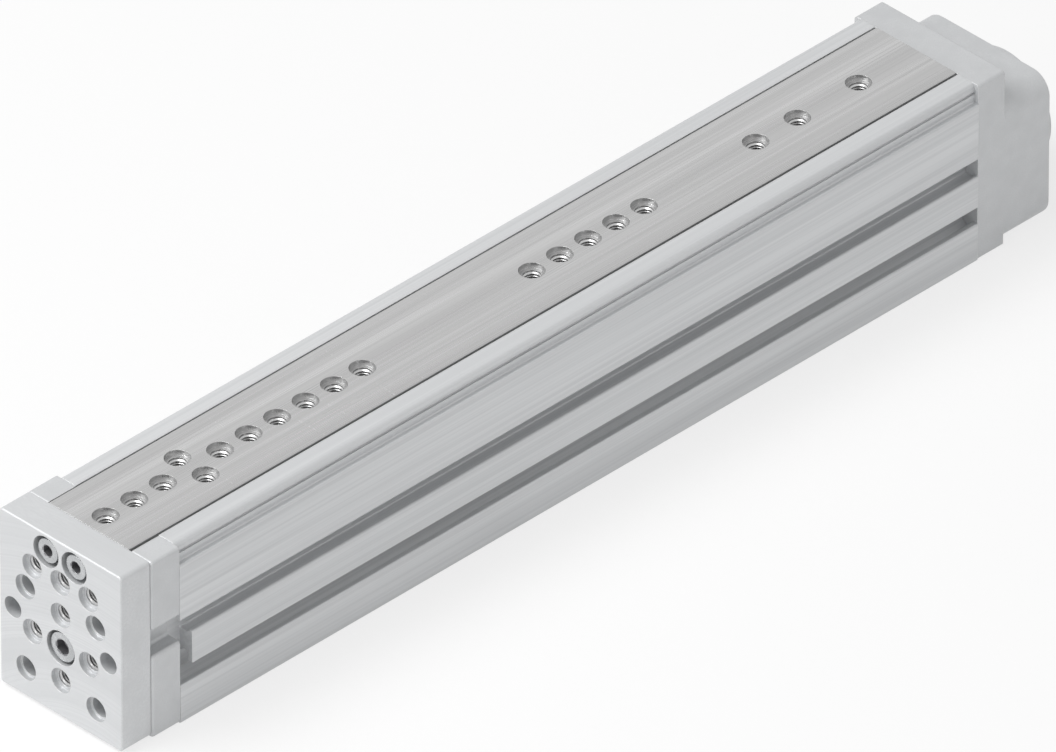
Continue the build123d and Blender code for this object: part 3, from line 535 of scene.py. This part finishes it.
# Slide. A bar of hardened steel, ground along its length, with nineteen M5 threads in its top.
# Grinding leaves bright straight lines that run through from end to end.
ground_steel = worked_surface(
    "ground steel", light=(0.60, 0.60, 0.60), dark=(0.47, 0.47, 0.47), edge=(0.70, 0.70, 0.70),
    metallic=0.7, roughness=0.3, spread=0.08, stretch=(0.004, 1, 1), density=1300.0, relief=0.2,
    marks=0.15, edge_radius=0.00012)
paint(ground_steel, "slide_table")
slide_top, counterbore, slide_hole_depth = 0.0546, 0.0016, 0.009
slide_row = (0.146, 0.136, 0.126, 0.106, 0.096, 0.086, 0.076, 0.066, 0.056, -0.004, -0.014, -0.024,
             -0.034, -0.044, -0.084, -0.099, -0.121)
slide_pair_x, slide_pair_y = 0.116, 0.005
slide_places = [(x, 0, slide_top - counterbore) for x in slide_row]
slide_places += [(slide_pair_x, sy * slide_pair_y, slide_top - counterbore) for sy in (-1, 1)]
ridge, strips = thread_ridge(slide_hole_depth - counterbore)
slide_threads = closed_skin("slide_threads", *copies(ridge * [1, 1, -1], strips, slide_places),
                            sharp_above=20)
slide_threads.data.materials.append(cut_thread)
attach(slide_threads, "slide")


# Yoke plate. Milled from flat bar and clear anodised, with seven M5 threads and plain holes.
# Its face is finished by a wide milling cutter, which leaves fine arcs under the anodised skin.
milled_plate = worked_surface(
    "milled plate", light=(0.68, 0.69, 0.70), dark=(0.62, 0.63, 0.64), edge=(0.86, 0.86, 0.86),
    metallic=0.35, roughness=0.4, spread=0.07, density=1300.0, relief=0.24, marks=0.1,
    edge_radius=0.0003, turned_about=(0.012, -0.035))
paint(milled_plate, "yoke_plate")
yoke_front, yoke_thickness, grid = 0.162, 0.010, 0.010
yoke_steps = ((-1, 2), (0, 2), (1, 2), (0, 1), (-1, 0), (1, 0), (0, -1))
yoke_places = [(yoke_front - counterbore, sy * grid, axis_z + sz * grid) for sy, sz in yoke_steps]
ridge, strips = thread_ridge(yoke_thickness - counterbore)
yoke_ridge = np.stack([-ridge[:, 2], ridge[:, 0], ridge[:, 1]], axis=-1)
yoke_threads = closed_skin("yoke_threads", *copies(yoke_ridge, strips, yoke_places),
                           sharp_above=20)
yoke_threads.data.materials.append(cut_thread)
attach(yoke_threads, "slide")


# Socket head screws. Cold headed steel with a bright zinc coat: a knurled head with a hexagon
# socket, whose floor is the cone that the punch leaves.
def socket_screw_skin(shank_r, head_r, head_height, key_width, key_depth, length,
                      sides=192, ridges=48):
    """A screw along X whose head stands on x = 0 and whose shank points to minus X.

    Each station's radius is that of a circle or of a hexagon: at angle a the hexagon of half width
    w lies at w / cos(a'), with a' the angle from the middle of its side. On the head's side a
    cosine of the angle is taken off for the knurl."""
    angle = 2 * np.pi * np.arange(sides) / sides
    from_middle = (angle + np.pi / 6) % (np.pi / 3) - np.pi / 6
    hexagon = key_width / 2 / np.cos(from_middle)
    mouth = hexagon.max() + 0.00012
    knurl = 0.00011 * (0.5 - 0.5 * np.cos(ridges * angle))
    plain = np.zeros(sides)
    top, edge = head_height, 0.00035
    rows = [
        (-length, shank_r - 0.0004 + plain), (-length + 0.0004, shank_r + plain),
        (-0.0002, shank_r + plain), (0, shank_r + 0.0002 + plain), (0, head_r - 0.00025 + plain),
        (0.00015, head_r - 0.0001 + plain), (0.0004, head_r - 0.00002 + plain),
        (0.0006, head_r - knurl), (top - 0.0009, head_r - knurl),
        (top - 0.0007, head_r - 0.00002 + plain),
        (top - edge, head_r - 0.00001 + plain), (top - 0.3 * edge, head_r - 0.3 * edge + plain),
        (top, head_r - edge + plain), (top, mouth + plain),
        (top - 0.55 * (mouth - hexagon), hexagon), (top - key_depth, hexagon),
        (top - key_depth - 0.00005, hexagon - 0.00015),
        (top - key_depth - 0.3 * key_width, 0.1 * hexagon),
    ]
    along = np.stack([x + plain for x, _ in rows])
    return turned_skin(along, np.stack([r for _, r in rows]))


zinc_screw = worked_surface(
    "zinc coated screw", light=(0.60, 0.61, 0.62), dark=(0.46, 0.47, 0.48), edge=(0.78, 0.79, 0.80),
    metallic=0.9, roughness=0.26, spread=0.06, density=1500.0, relief=0.1, edge_radius=0.00012)
# The socket's inside gets a far darker colour than the zinc coat: painted shade in the recess.
socket_painted_shade = worked_surface(
    "socket painted shade", light=(0.26, 0.26, 0.27), dark=(0.19, 0.19, 0.20), edge=(0.45, 0.45, 0.46),
    metallic=0.7, roughness=0.42, spread=0.06, density=1500.0, relief=0.05, edge_radius=0.00008)
# By size: shank radius, head radius, head height, key width and key depth.
m4 = (0.00198, 0.0035, 0.0040, 0.0030, 0.0022)
m5 = (0.00248, 0.00425, 0.0050, 0.0040, 0.0027)


def screw_set(name, node, size, length, body, places, reverse=False):
    """Screws of one size on their seats. Those that point to plus X are turned half round about Z.

    A face whose middle lies inside the head and within reach of the key belongs to the socket,
    which is painted dark as shade in the recess."""
    points, faces = socket_screw_skin(*size, length)
    middle = points[faces].mean(axis=1)
    head_height, key_width, key_depth = size[2:]
    in_socket = ((np.hypot(middle[:, 1], middle[:, 2]) < 0.58 * key_width)
                 & (middle[:, 0] > head_height - 1.4 * key_depth)
                 & (middle[:, 0] < head_height - 0.00008))
    if reverse:
        points = points * [-1, -1, 1]
    screws = closed_skin(name, *copies(points, faces, places), sharp_above=40)
    screws.data.materials.append(zinc_screw)
    screws.data.materials.append(socket_painted_shade)
    slots = np.tile(in_socket, len(places)).astype(np.int32)
    screws.data.polygons.foreach_set("material_index", slots)
    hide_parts(node)
    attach(screws, body)


# By screw: length, then the seat of its head, with the distances from the middle in Y and Z.
corners = [(sy, sz) for sy in (-1, 1) for sz in (-1, 1)]
table_screw_length, table_seat_x, table_seat_y, table_seat_z = 0.01545, 0.15745, 0.005, 0.049
screw_set("table_screws_socket", "table_screws", m4, table_screw_length, "slide",
          [(table_seat_x, sy * table_seat_y, table_seat_z) for sy in (-1, 1)])
rod_screw_length, rod_seat_x = 0.01445, 0.15645
screw_set("rod_screw_socket", "rod_screw", m5, rod_screw_length, "slide", [(rod_seat_x, 0, axis_z)])
cap_screw_length, cap_seat_x, cap_seat_out = 0.0156, 0.1476, 0.0125
screw_set("front_cap_screws_socket", "front_cap_screws", m4, cap_screw_length, "housing",
          [(cap_seat_x, sy * cap_seat_out, axis_z + sz * cap_seat_out) for sy, sz in corners])
rear_screw_length, rear_seat_x, rear_seat_y, rear_seat_up = 0.0239, -0.1559, 0.015, 0.0145
screw_set("bearing_housing_screws_socket", "bearing_housing_screws", m4, rear_screw_length,
          "housing",
          [(rear_seat_x, sy * rear_seat_y, axis_z + sz * rear_seat_up) for sy, sz in corners],
          reverse=True)


# Studio. A white table that keeps the soft shadow, and an even white surround for the reflections.
# Past far metres from the part the table is just as bright as the surround, so no edge shows.
def direct_or_mirrored(tree):
    """1 for what the camera sees directly, in a mirror or through glass, and 0 for the light on
    surfaces."""
    path = add_node(tree, "ShaderNodeLightPath")
    seen = path.outputs["Is Camera Ray"]
    for label in ("Is Glossy Ray", "Is Transmission Ray"):
        seen = add_node(tree, "ShaderNodeMath",
                        {0: seen, 1: path.outputs[label]}, operation="MAXIMUM").outputs[0]
    return seen


table_mesh = bpy.data.meshes.new("table")
half, drop = 6.0, -0.00005
near, far, table_glow, surround = 0.42, 0.6, 0.72, 0.95
table_corners = [(-half, -half, drop), (half, -half, drop), (half, half, drop), (-half, half, drop)]
table_mesh.from_pydata(table_corners, [], [(0, 1, 2, 3)])
table = bpy.data.objects.new("table", table_mesh)
bpy.context.scene.collection.objects.link(table)
white_table = bpy.data.materials.new("white table")
white_table.use_nodes = True
tree = white_table.node_tree
place = add_node(tree, "ShaderNodeTexCoord").outputs["Object"]
away = add_node(tree, "ShaderNodeVectorMath", {0: place}, operation="LENGTH").outputs["Value"]
level = add_node(tree, "ShaderNodeMapRange",
                 {"Value": away, "From Min": near, "From Max": far,
                  "To Min": 1.0, "To Max": surround})
part = add_node(tree, "ShaderNodeMapRange",
                {"Value": away, "From Min": near, "From Max": far,
                 "To Min": table_glow, "To Max": 1.0})
matt = add_node(tree, "ShaderNodeBsdfDiffuse", {"Color": (0.97, 0.97, 0.97, 1)})
glow = add_node(tree, "ShaderNodeEmission", {"Color": (1, 1, 1, 1), "Strength": level.outputs[0]})
share = add_node(tree, "ShaderNodeMath",
                 {0: direct_or_mirrored(tree), 1: part.outputs[0]}, operation="MULTIPLY")
blend = add_node(tree, "ShaderNodeMixShader",
                 {0: share.outputs[0], 1: matt.outputs[0], 2: glow.outputs[0]})
tree.links.new(blend.outputs[0], tree.nodes["Material Output"].inputs["Surface"])
table_mesh.materials.append(white_table)

world = bpy.data.worlds.new("white surround")
bpy.context.scene.world = world
world.use_nodes = True
tree = world.node_tree
level = add_node(tree, "ShaderNodeMapRange",
                 {"Value": direct_or_mirrored(tree), "To Min": 0.35, "To Max": surround})
ground = tree.nodes["Background"]
ground.inputs["Color"].default_value = (1, 1, 1, 1)
tree.links.new(level.outputs[0], ground.inputs["Strength"])


def soft_lamp(name, place, size, power):
    """A square soft box that faces the middle of the part."""
    lamp = bpy.data.lights.new(name, "AREA")
    lamp.energy, lamp.size = power, size
    made = bpy.data.objects.new(name, lamp)
    made.location = place
    towards = Vector((0, 0, 0.03)) - Vector(place)
    made.rotation_euler = towards.to_track_quat("-Z", "Y").to_euler()
    bpy.context.scene.collection.objects.link(made)


soft_lamp("key lamp", (0.9, -0.5, 1.5), size=0.9, power=23.0)
soft_lamp("side lamp", (0.1, 1.5, 0.7), size=0.9, power=2.0)
soft_lamp("front lamp", (1.5, 0.3, 0.5), size=0.7, power=2.4)


# Camera. The drawing is isometric, so the camera stands far away and looks with a very long lens
# along the diagonal, from the front left above.
aim = Vector((-0.002648, 0, 0.022729))
azimuth, elevation, distance = math.radians(45.055), math.radians(35.355), 8.8726
back = Vector((math.cos(azimuth) * math.cos(elevation), math.sin(azimuth) * math.cos(elevation),
               math.sin(elevation)))
lens = bpy.data.cameras.new("camera")
lens.lens, lens.sensor_width, lens.clip_start, lens.clip_end = 1200.0, 36.0, 1.0, 30.0
camera = bpy.data.objects.new("camera", lens)
camera.location = aim + back * distance
camera.rotation_euler = (-back).to_track_quat("-Z", "Y").to_euler()
bpy.context.scene.collection.objects.link(camera)
bpy.context.scene.camera = camera
bpy.context.scene.view_settings.view_transform = "Standard"
